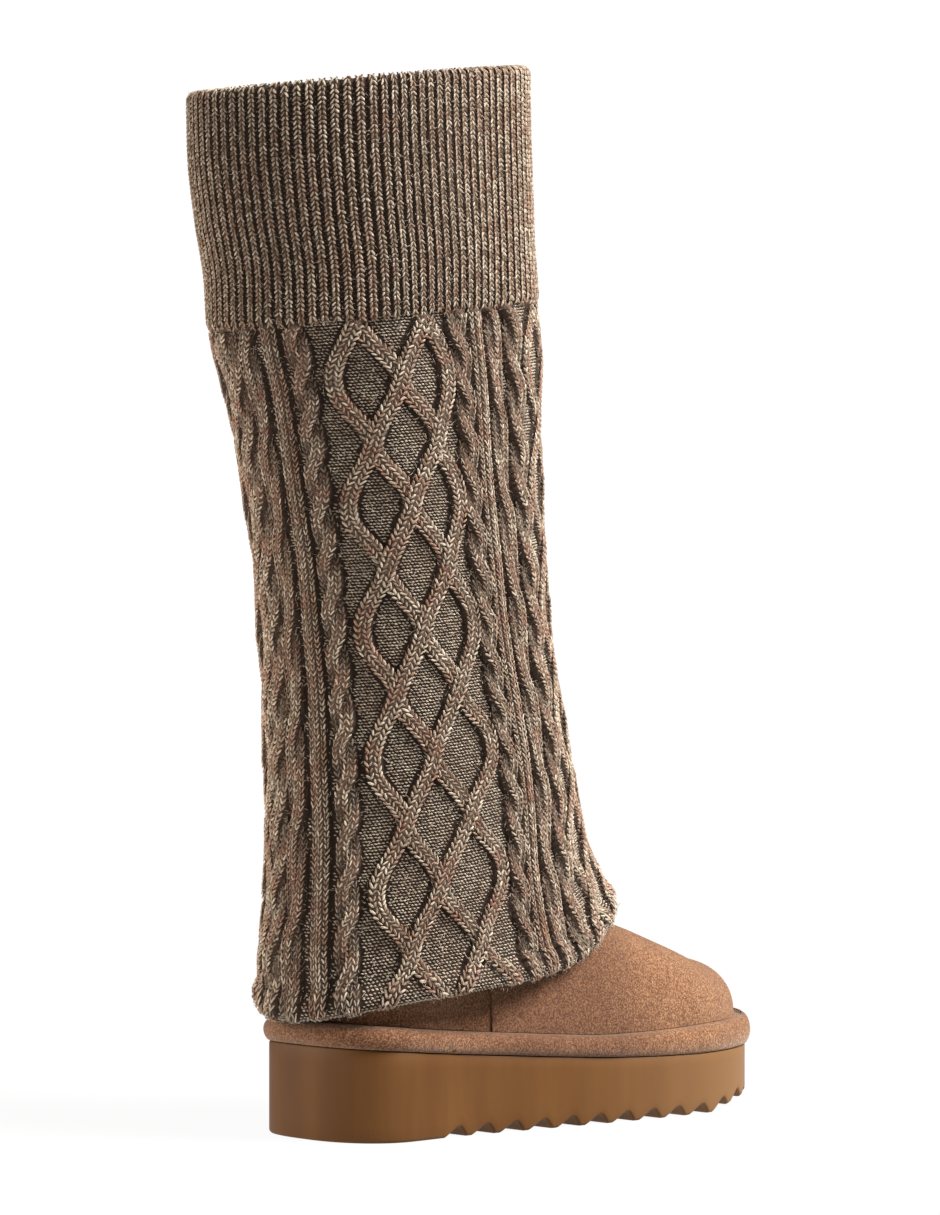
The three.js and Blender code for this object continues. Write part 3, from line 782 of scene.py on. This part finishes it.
def ribStrand(centre, look, number):
    def path(v):
        return drift(centre + sway(v, number * 2.7, 34, 6, 0.002), v), np.full_like(v, look["rise"])
    return {"path": path, "half": look["half"], "wales": 3, "kind": "rib", "top": look["rise"]}


def layPattern():
    # four panels of lattice to a turn, with four strips between each two
    laid = []
    for panel in range(4):
        start = firstPanel + panel * 0.25
        for phase in (0, 2, 4, 6):
            laid.append(latticeStrand(start, phase, panel * 4 + phase))
        strips, hand = (stripsUp, 1) if panel % 2 == 0 else (stripsDown, -1)
        for name, shift in strips:
            centre = start + panelShare + shift
            look = stripLook[name]
            number = len(laid)
            if name == "rib":
                laid.append(ribStrand(centre, look, number))
            else:
                laid += [ropeStrand(centre, look, side, hand, number) for side in (0, 1)]
    return laid


strands = layPattern()
patternLow = hemTop - 6.5


def girthAt(v):
    return np.interp(v, surfaceV, surfaceGirth)


def hemFade(v):
    # the pattern flattens toward the hem
    return 0.3 + 0.7 * smoothstep(v, patternLow + 2, patternLow + 13)


def reliefAt(turn, v, wider=0.0):
    # rise of the highest strand over each point of a grid of turns and lengths
    grid = np.zeros((len(v), len(turn)))
    fade = hemFade(v)
    for strand in strands:
        centre, rise = strand["path"](v)
        away = np.mod(turn[None, :] - centre[:, None] + 0.5, 1.0) - 0.5
        away = np.abs(away) * girthAt(v)[:, None] / (strand["half"] + wider)
        dome = np.sqrt(np.clip(1 - away ** 2, 0, 1)) * (rise * fade)[:, None]
        grid = np.maximum(grid, dome)
    return grid


def layFlat(mesh, turn, v):
    # a flat map from each point's place round and along the knitting
    layer = mesh.uv_layers.new(name="OFBake")
    corners = np.empty(len(mesh.loops), np.int32)
    mesh.loops.foreach_get("vertex_index", corners)
    flat = np.column_stack([turn, (v - profile[0, 0]) / knit["mapLength"]]).astype(np.float32)
    layer.data.foreach_set("uv", flat[corners].ravel())


def layFibres(mesh, places):
    # where a point lies in its own yarn: across the fibres, along them, and which yarn
    layer = mesh.attributes.new("fibre", "FLOAT_VECTOR", "POINT")
    layer.data.foreach_set("vector", np.asarray(places, np.float32).ravel())


def addKnitting(mesh, tone, rust, depth):
    # a piece of the shaft, with each point's tone, share of rust and depth of shade
    layer = mesh.attributes.new("yarn", "FLOAT_COLOR", "POINT")
    rgba = np.ones((len(mesh.vertices), 4), np.float32)
    for column, value in enumerate((tone, rust, depth)):
        rgba[:, column] = value
    layer.data.foreach_set("color", rgba.ravel())
    settle(addObject(mesh, yarnPaint), "knit_shaft")


def gridMesh(name, turns, v, out):
    count = len(turns)
    across, up = np.tile(turns, len(v)), np.repeat(v, count)
    points = onKnit(across, up, out.ravel())
    j = np.arange(len(v) - 1)[:, None] * count
    i = np.arange(count)[None, :]
    near = (i + 1) % count
    quads = np.stack([j + i, j + count + i, j + count + near, j + near], -1).reshape(-1, 4)
    mesh = newMesh(name, points, [quads])
    layFlat(mesh, across, up)
    layFibres(mesh, np.column_stack([across * knit["girth"] * 2, up / 0.9, up * 0]))
    return mesh


# Yarn: heather wool of taupe, beige and rust fibres
yarnLook = {
    "dark": (31, 20, 14), "taupe": (118, 94, 75), "beige": (214, 200, 178), "rust": (142, 96, 76),
    "flecks": 780.0, "pale": 0.6, "fleckShade": 0.35, "gapShade": 0.75, "rough": 0.82,
}


def yarn(w):
    taupe, beige, rusty, dark = (linear(*yarnLook[c]) for c in ("taupe", "beige", "rust", "dark"))
    tint = w.make("ShaderNodeAttribute", {"attribute_name": "yarn"}, out=0)
    parts = w.make("ShaderNodeSeparateColor", None, {0: tint}, out=0)
    rust = Wire(w.tree, parts.end.node.outputs[1])
    depth = Wire(w.tree, parts.end.node.outputs[2])
    lies = w.make("ShaderNodeAttribute", {"attribute_name": "fibre"}, out=1)
    fibre = noise(w, lies, 1.0, rough=0.6)
    fleck = noise(w, objectPlace(w), yarnLook["flecks"])
    base = rust.blend(parts.blend(taupe, beige), rusty)
    base = (fibre.ramp(0.54, 0.7) * yarnLook["pale"]).blend(base, beige)
    base = (fleck.ramp(0.5, 0.3) * yarnLook["fleckShade"]).blend(base, dark)
    base = (fibre.ramp(0.5, 0.34) * yarnLook["gapShade"]).blend(base, dark)
    # painted shade: the less depth a point has, the nearer to dark yarn it is painted
    base = (1 - depth).blend(base, dark)
    return {"Base Color": base, "Roughness": fibre * 0.12 + yarnLook["rough"],
            "Normal": bump(w, 0.8, 0.0004, fibre)}


yarnPaint = newMaterial("heather yarn", {
    "Sheen Weight": 0.12, "Sheen Roughness": 0.5, "Sheen Tint": linear(240, 226, 210),
    "Specular IOR Level": 0.15}, yarn)


def addGround():
    turns = np.arange(420) / 420
    v = np.concatenate([np.linspace(hemTop - 10.6, hemTop + 4, 14),
                        np.arange(hemTop + 5.4, cuffLow, 1.7), [cuffLow + 0.6]])
    relief = reliefAt(turns, v)
    out = np.where(relief > 0.2, relief - 0.75, 0)
    out[-1] = 0
    mesh = gridMesh("knit_ground", turns, v, out)
    # painted shade: the ground among the strands is painted almost dark, a little less under their crests, and
    # only partly dark low at the hem
    shade = np.clip(0.03 + 0.14 * relief / 2.5, 0, 1)
    shade[v < hemTop - 6] = 0.6
    addKnitting(mesh, 0.2, 0.3, shade.ravel())


# Cuff: its ribs stand closest beside the fold of the leg, told as ribs to a full turn
cuffLook = {
    "ribs": 88, "course": 2.08, "crowdAt": (0, 0.1, 0.18, 0.24, 0.3, 0.335, 0.35, 0.585, 0.8, 1),
    "crowd": (80, 70, 74, 90, 108, 114, 90, 90, 92, 80),
    "ground": 1.65, "rise": 1.75, "width": 0.66, "valleyHalf": 0.62, "valleyWide": 0.42, "valleyShade": 0.36,
}
ribTurns = np.linspace(0, 1, 401)
ribCrowd = np.interp(ribTurns, cuffLook["crowdAt"], cuffLook["crowd"])
ribShare = np.concatenate([[0], np.cumsum(ribCrowd[1:] + ribCrowd[:-1])])
ribShare /= ribShare[-1]


def ribTurn(share):
    # the turn at which a share of all the ribs lies behind
    return np.interp(share, ribShare, ribTurns)


def ribWave(turns):
    share = np.mod(np.interp(turns, ribTurns, ribShare) * cuffLook["ribs"], 1.0)
    return np.clip(np.sin(share * np.pi) * 1.8 - 0.75, 0, 1) ** 0.6


def addCuffGround():
    turns = ribTurn(np.arange(cuffLook["ribs"] * 5) / (cuffLook["ribs"] * 5))
    v = np.concatenate([[cuffLow - 0.6, cuffLow + 0.6], np.arange(cuffLow + 2, collarAt - 2, 4.0),
                        np.linspace(collarAt - 1, insideFrom + 1, 14),
                        np.arange(insideFrom + 4, insideFrom + knit["turnedIn"] + 1, 4.0)])
    # the ribs fill out and lie lower where the collar rolls over
    collar = np.exp(-((v - collarAt - 3) / 3.5) ** 2)[:, None]
    out = np.tile(ribWave(turns), (len(v), 1)) * cuffLook["ground"]
    out = out * (1 - 0.55 * collar) + 0.6 * collar
    out[0] = -0.2
    mesh = gridMesh("knit_cuff_ground", turns, v, out)
    # painted shade: the cuff's ground is painted almost dark, darkest down the valleys between the ribs
    addKnitting(mesh, 0.2, 0.25, out.ravel() * 0.1 + 0.02)


def addReverse():
    # the reverse of the pattern, inside the leg
    turns = np.arange(240) / 240
    v = np.concatenate([np.arange(insideFrom + 84, profile[-1, 0], 4.0), [profile[-1, 0]]])
    out = (blotch(np.tile(turns * knit["girth"], len(v)), np.repeat(v, 240), 9, 9) - 0.5) * 0.8
    addKnitting(gridMesh("knit_reverse", turns, v, out), out * 0.3 + 0.4, 0.3, 0.75)


# Stitches: every leg of a stitch is one small grain of yarn
def addGrains(name, grains, shape):
    # rows of grains: turn and v of the middle, half its length round and along, half its width,
    # rise of its foot and of its head, its hump, and its three yarn values
    turn, v, dx, dv, wide, foot, head, hump, tone, rust, depth = grains
    count = len(turn)
    girth = girthAt(v)
    size = np.hypot(dx, dv)
    sideX, sideV = dv / size * wide, -dx / size * wide
    along, across, up = shape["along"], shape["across"], shape["up"]
    spots = len(along)
    x = dx[:, None] * along + sideX[:, None] * across
    y = dv[:, None] * along + sideV[:, None] * across
    rise = foot[:, None] * (1 - along) / 2 + head[:, None] * (1 + along) / 2 + hump[:, None] * up
    turns = turn[:, None] + x / girth[:, None]
    vs = v[:, None] + y
    points = onKnit(turns.ravel(), vs.ravel(), rise.ravel())
    tris = (np.arange(count)[:, None, None] * spots + shape["tris"][None]).reshape(-1, 3)
    mesh = newMesh(name, points, [tris])
    layFlat(mesh, turns.ravel(), vs.ravel())
    layFibres(mesh, np.stack([across * wide[:, None] / 0.24, along * size[:, None] / 1.6,
                              np.arange(count)[:, None] * 7.3 + along * 0], -1))
    addKnitting(mesh, *np.repeat([tone, rust, depth], spots, 1))
    print(name, len(tris), "triangles")


def grainShape(columns, rings):
    # half of a spindle: two tips and rings of points between them
    along, across, up = [-1.0], [0.0], [0.0]
    for ring in rings:
        full = math.sqrt(1 - ring * ring)
        for c in np.linspace(-1, 1, columns):
            along.append(ring)
            across.append(c * full)
            up.append(math.cos(c * math.pi / 2) * full)
    along.append(1.0)
    across.append(0.0)
    up.append(0.0)
    tris = []
    last = len(along) - 1
    for c in range(columns - 1):
        tris.append((0, 2 + c, 1 + c))
        for ring in range(len(rings) - 1):
            a = 1 + ring * columns + c
            tris += [(a, a + 1, a + columns), (a + 1, a + columns + 1, a + columns)]
        a = 1 + (len(rings) - 1) * columns + c
        tris.append((a, a + 1, last))
    return {"along": np.array(along), "across": np.array(across), "up": np.array(up),
            "tris": np.array(tris)[:, ::-1]}


legShape = grainShape(4, (-0.55, 0.5))
dashShape = grainShape(3, (-0.5, 0.5))
beadShape = grainShape(3, (0.0,))

stitchLook = {
    "course": 2.5, "reach": 0.56, "wide": 0.145, "hump": 0.17, "low": 0.04, "high": 0.46,
    "lean": 0.7, "stretch": 0.6, "shade": 0.55,
}


def yarnTones(turn, v, rows):
    # heather colours: lighter and darker stitches, and rust stretches
    x = turn * knit["girth"]
    cuff = np.clip((v - cuffLow) / 4, 0, 1)
    tone = 0.74 * rows.rand(len(turn)) ** (1.7 - 0.4 * cuff) + (0.34 - 0.2 * cuff) * blotch(x, v, 5, 21) - 0.1
    rust = smoothstep(blotch(x, v, 8, 22) * 0.62 + blotch(x, v, 2.6, 23) * 0.38, 0.36, 0.66)
    rust = rust * (0.15 + 0.75 * rows.rand(len(turn))) * (1 - 0.45 * cuff)
    # painted light: the top of the rolled collar is painted a little paler, where the light from above falls
    tone = tone + 0.14 * smoothstep(v, collarAt - 18, collarAt - 4)
    return np.clip(tone, 0, 1), np.clip(rust, 0, 1)


def walePairs(turn, v, tangentX, tangentV, width, rise, course, rows, ends, shade=1.0):
    # both legs of every stitch down one wale; ends are how far its legs stand apart, low and high
    legs = []
    one = np.ones(len(turn))
    for side in (-1, 1):
        jitter = rows.rand(4, len(turn)) - 0.5
        foot, head = ends[0] * width * side, ends[1] * width * side
        middle, lean = (foot + head) / 2, (head - foot) / 2
        reach = course * stitchLook["reach"]
        dx = tangentX * reach + tangentV * lean + jitter[0] * stitchLook["lean"]
        dv = tangentV * reach - tangentX * lean + jitter[1] * stitchLook["stretch"]
        t = turn + (tangentV * middle + jitter[2] * 0.2) / girthAt(v)
        vv = v - tangentX * middle + jitter[3] * 0.25
        wide = width * stitchLook["wide"] * (1 + jitter[0] * 0.4)
        tone, rust = yarnTones(t, vv, rows)
        legs.append(np.stack([t, vv, dx, dv, wide, rise + 0.12, rise - 0.3, one * width * stitchLook["hump"],
                              tone, rust, one * shade]))
    return np.concatenate(legs, 1)


def strandGrains(kind, rows):
    found = []
    v = np.arange(patternLow, cuffLow - 0.5, 0.5)
    for strand in strands:
        if strand["kind"] != kind:
            continue
        turn, rise = strand["path"](v)
        dx = np.gradient(turn, v) * girthAt(v)
        length = np.concatenate([[0], np.cumsum(np.hypot(dx[1:], 1.0) * 0.5)])
        course, wales = stitchLook["course"], strand["wales"]
        width = 2 * strand["half"] / wales
        for wale in range(wales):
            side = (wale - (wales - 1) / 2) * width
            at = np.arange(0.6 + (wale % 2) * 0.4, length[-1] - 1.0, course)
            vs = np.interp(at, length, v)
            slope = np.interp(vs, v, dx)
            size = np.hypot(slope, 1)
            tx, tv = slope / size, 1 / size
            t = np.interp(vs, v, turn) + tv * side / girthAt(vs)
            vc = vs - tx * side
            crest = np.interp(vs, v, rise)
            dome = math.sqrt(1 - min(abs(side) / strand["half"], 1) ** 2)
            up = (crest * dome - 0.35) * hemFade(vc)
            # a strand that dips under another lies in its shade
            shade = 1 - stitchLook["shade"] * smoothstep(strand["top"] - crest, 0.9, 2.6)
            ends = stitchLook["low"], stitchLook["high"]
            found.append(walePairs(t, vc, tx, tv, width, up, course, rows, ends, shade))
    return np.concatenate(found, 1)


def addStitches():
    rows = np.random.RandomState(knit["seed"])
    for name, kind in (("knit_lattice", "lattice"), ("knit_cables", "cable"), ("knit_ribs", "rib")):
        addGrains(name, strandGrains(kind, rows), legShape)
    # the cuff, rib by rib, then the flat stitches down its valleys
    ribs, course = cuffLook["ribs"], cuffLook["course"]
    valleys = ribTurn(np.arange(ribs + 1) / ribs)
    found = []
    for rib in range(ribs):
        v = np.arange(cuffLow - 1.2 + rows.rand() * 2.0, insideFrom + 30, course)
        turn = ribTurn((rib + 0.5) / ribs) + sway(v, rib * 3.7, 40, 8, 0.0016)
        zero = np.zeros_like(v)
        wide = cuffLook["width"] * (valleys[rib + 1] - valleys[rib]) * knit["cuffGirth"]
        rise = zero + cuffLook["rise"]
        found.append(walePairs(turn, v, zero, zero + 1, wide, rise, course, rows, (0.45, 0.05)))
    addGrains("knit_cuff_ribs", np.concatenate(found, 1), legShape)
    # the cuff, rib by rib, then the flat stitches down its valleys, painted darker as painted shade
    found = []
    for valley in valleys[:-1]:
        v = np.arange(cuffLow + 1.5, insideFrom + 6, course)
        jitter = rows.rand(4, len(v)) - 0.5
        tone, rust = yarnTones(np.full_like(v, valley), v, rows)
        found.append(np.stack([
            valley + jitter[0] * 0.0008, v + jitter[1] * 0.3,
            cuffLook["valleyHalf"] + jitter[2] * 0.2, jitter[3] * 0.3, v * 0 + cuffLook["valleyWide"],
            v * 0 + 0.05, v * 0 + 0.05, v * 0 + 0.35, tone, rust, v * 0 + cuffLook["valleyShade"]]))
    addGrains("knit_cuff_valleys", np.concatenate(found, 1), dashShape)


# Purl ground: short dashes across, row by row, that leave room beside the strands
purlLook = {"pitch": 1.7, "line": 1.35, "half": 0.84, "wide": 0.37, "hump": 0.65, "slant": 0.22, "pale": 0.5}


def addPurl():
    rows = np.random.RandomState(knit["seed"] + 1)
    found = []
    v = np.arange(patternLow + 0.5, cuffLow + 1.0, purlLook["line"])
    cells = int(knit["girth"] / purlLook["pitch"])
    turns = np.arange(cells) / cells
    halves = np.arange(cells * 2) / (cells * 2)
    fine = reliefAt(halves, v)
    # painted shade: dashes close beside a strand are painted darker, and those closest are left out
    beside = smoothstep(reliefAt(halves, v, 1.9), 1.9, 0.4)
    for row in range(len(v)):
        shift = (row % 2) * 0.5
        spots = np.arange(cells) * 2 + row % 2
        clear = fine[row, spots] < 0.9
        turn = turns[clear] + shift / cells
        roomAndShade = beside[row, spots][clear]
        turn, roomAndShade = turn[roomAndShade > 0.3], roomAndShade[roomAndShade > 0.3]
        one = np.ones(len(turn))
        jitter = rows.rand(6, len(turn)) - 0.5
        vs = v[row] + jitter[0] * 0.35
        tone, rust = yarnTones(turn, vs, rows)
        found.append(np.stack([
            turn + jitter[1] * 0.4 / knit["girth"], vs,
            purlLook["half"] + jitter[2] * 0.2, jitter[3] * 0.25 + purlLook["slant"],
            purlLook["wide"] + jitter[4] * 0.12, one * 0.05, one * 0.05, one * purlLook["hump"],
            np.clip(tone * 0.8 + purlLook["pale"], 0, 1), rust * 0.5,
            (0.85 + 0.3 * jitter[5]) * (0.2 + 0.8 * roomAndShade)]))
    addGrains("knit_purl", np.concatenate(found, 1), beadShape)


# Loose fibres that stand off the yarn, each a thin tapered strip of five points
fuzzLook = {"count": 23000, "length": (0.8, 2.6), "spread": (0.4, 1.4), "crest": 2.3, "cuffCrest": 1.9}


def addFuzz():
    rows = np.random.RandomState(knit["seed"] + 2)
    count = fuzzLook["count"]
    turn = rows.rand(count)
    v = rows.uniform(patternLow, insideFrom + 4, count)
    crest = np.where(v > cuffLow, fuzzLook["cuffCrest"], fuzzLook["crest"]) + rows.rand(count) * 0.4
    length = rows.uniform(*fuzzLook["length"], count)
    lean = rows.uniform(0, 2 * np.pi, count)
    spread = rows.uniform(*fuzzLook["spread"], count)
    girth = girthAt(v)
    points = []
    for share, wide in ((0, 0.07), (0, -0.07), (0.55, 0.06), (0.55, -0.06), (1, 0.0)):
        dx = np.cos(lean) * spread * length * share - np.sin(lean) * wide
        dv = np.sin(lean) * spread * length * share + np.cos(lean) * wide
        out = crest - 0.9 + length * (share ** 0.8) * np.clip(1.5 - spread, 0.25, 1) * 0.9
        points.append(onKnit(turn + dx / girth, v + dv, out))
    points = np.stack(points, 1).reshape(-1, 3)
    strip = np.array([[0, 1, 3], [0, 3, 2], [2, 3, 4]])
    tris = (np.arange(count)[:, None, None] * 5 + strip[None]).reshape(-1, 3)
    mesh = newMesh("knit_fuzz", points, [tris])
    layFlat(mesh, np.repeat(turn, 5), np.repeat(v, 5))
    layFibres(mesh, points)
    tone, rust = yarnTones(turn, v, rows)
    addKnitting(mesh, np.repeat(tone, 5) * 0.5 + 0.45, np.repeat(rust, 5) * 0.4, 1)


addGround()
addCuffGround()
addReverse()
addStitches()
addPurl()
addFuzz()
print("knitting made")


# Studio: a bright floor and wall, a broad window light from the toe's side of the camera,
# a faint one from behind, and a card low on the heel's side that lights the lower leg
studio = {
    "papers": ((44, 44, 44), (48, 48, 48)), "floorReach": 30.0, "floorGlow": 0.95,
    "wallAway": 9.0, "wallHalf": 2.2, "wallHigh": 2.6, "wallGlow": 1.0,
    "world": (1, 0.95, 0.89, 1), "worldStrength": 0.19,
}
lights = {
    "window light": {"energy": 9.0, "angle": 28, "colour": (1.0, 0.985, 0.965), "toward": (0.862, 0.498, 0.93)},
    "rim light": {"energy": 1.5, "angle": 40, "colour": (1.0, 0.9, 0.8), "toward": (-0.72, -0.6, 0.3)},
}
card = {
    "energy": 0.85, "size": (0.3, 0.2), "colour": (1.0, 0.9, 0.8),
    "place": (-0.1103, -0.3013, 0.16), "aim": (0, 0.06, 0.2),
}


def paper(w):
    dull, pale = (linear(*c) for c in studio["papers"])
    return {"Base Color": noise(w, objectPlace(w), 3.0).blend(dull, pale)}


def addSheet(name, corners, paint, glow, fixed):
    material = newMaterial(paint, {"Emission Color": (1, 1, 1, 1), "Emission Strength": glow, **fixed}, paper)
    return addObject(newMesh(name, corners, [np.array([[0, 1, 2, 3]])], 1.0), material)


def addLamp(name, kind, look, toward):
    data = bpy.data.lights.new(name, kind)
    data.energy = look["energy"]
    data.color = look["colour"]
    lamp = bpy.data.objects.new(name, data)
    lamp.rotation_euler = toward.to_track_quat("Z", "Y").to_euler()
    bpy.context.collection.objects.link(lamp)
    return lamp


def addStudio():
    reach = studio["floorReach"]
    corners = [(x * reach, y * reach, 0) for x, y in ((-1, -1), (1, -1), (1, 1), (-1, 1))]
    floor = addSheet("studio_floor", corners, "pale floor", studio["floorGlow"],
                     {"Roughness": 0.9, "Specular IOR Level": 0.0})
    right = Vector(eye["right"])
    middle = Vector(eye["place"]) - right.cross(Vector(eye["up"])) * studio["wallAway"]
    top = middle.z + studio["wallHigh"]
    ends = [middle + right * studio["wallHalf"] * side for side in (-1, 1, 1, -1)]
    corners = [(end.x, end.y, z) for end, z in zip(ends, (0, 0, top, top))]
    wall = addSheet("studio_backdrop", corners, "white backdrop", studio["wallGlow"], {"Roughness": 1.0})
    world = bpy.data.worlds.new("studio")
    world.use_nodes = True
    sky = world.node_tree.nodes["Background"]
    sky.inputs[0].default_value = studio["world"]
    sky.inputs[1].default_value = studio["worldStrength"]
    bpy.context.scene.world = world
    for name, look in lights.items():
        addLamp(name, "SUN", look, Vector(look["toward"])).data.angle = math.radians(look["angle"])
    lamp = addLamp("card light", "AREA", card, Vector(card["place"]) - Vector(card["aim"]))
    lamp.location = card["place"]
    lamp.data.shape = "RECTANGLE"
    lamp.data.size, lamp.data.size_y = card["size"]
    lamp.visible_camera = False
    bpy.context.scene.view_settings.view_transform = "Standard"


addStudio()
print("studio made")
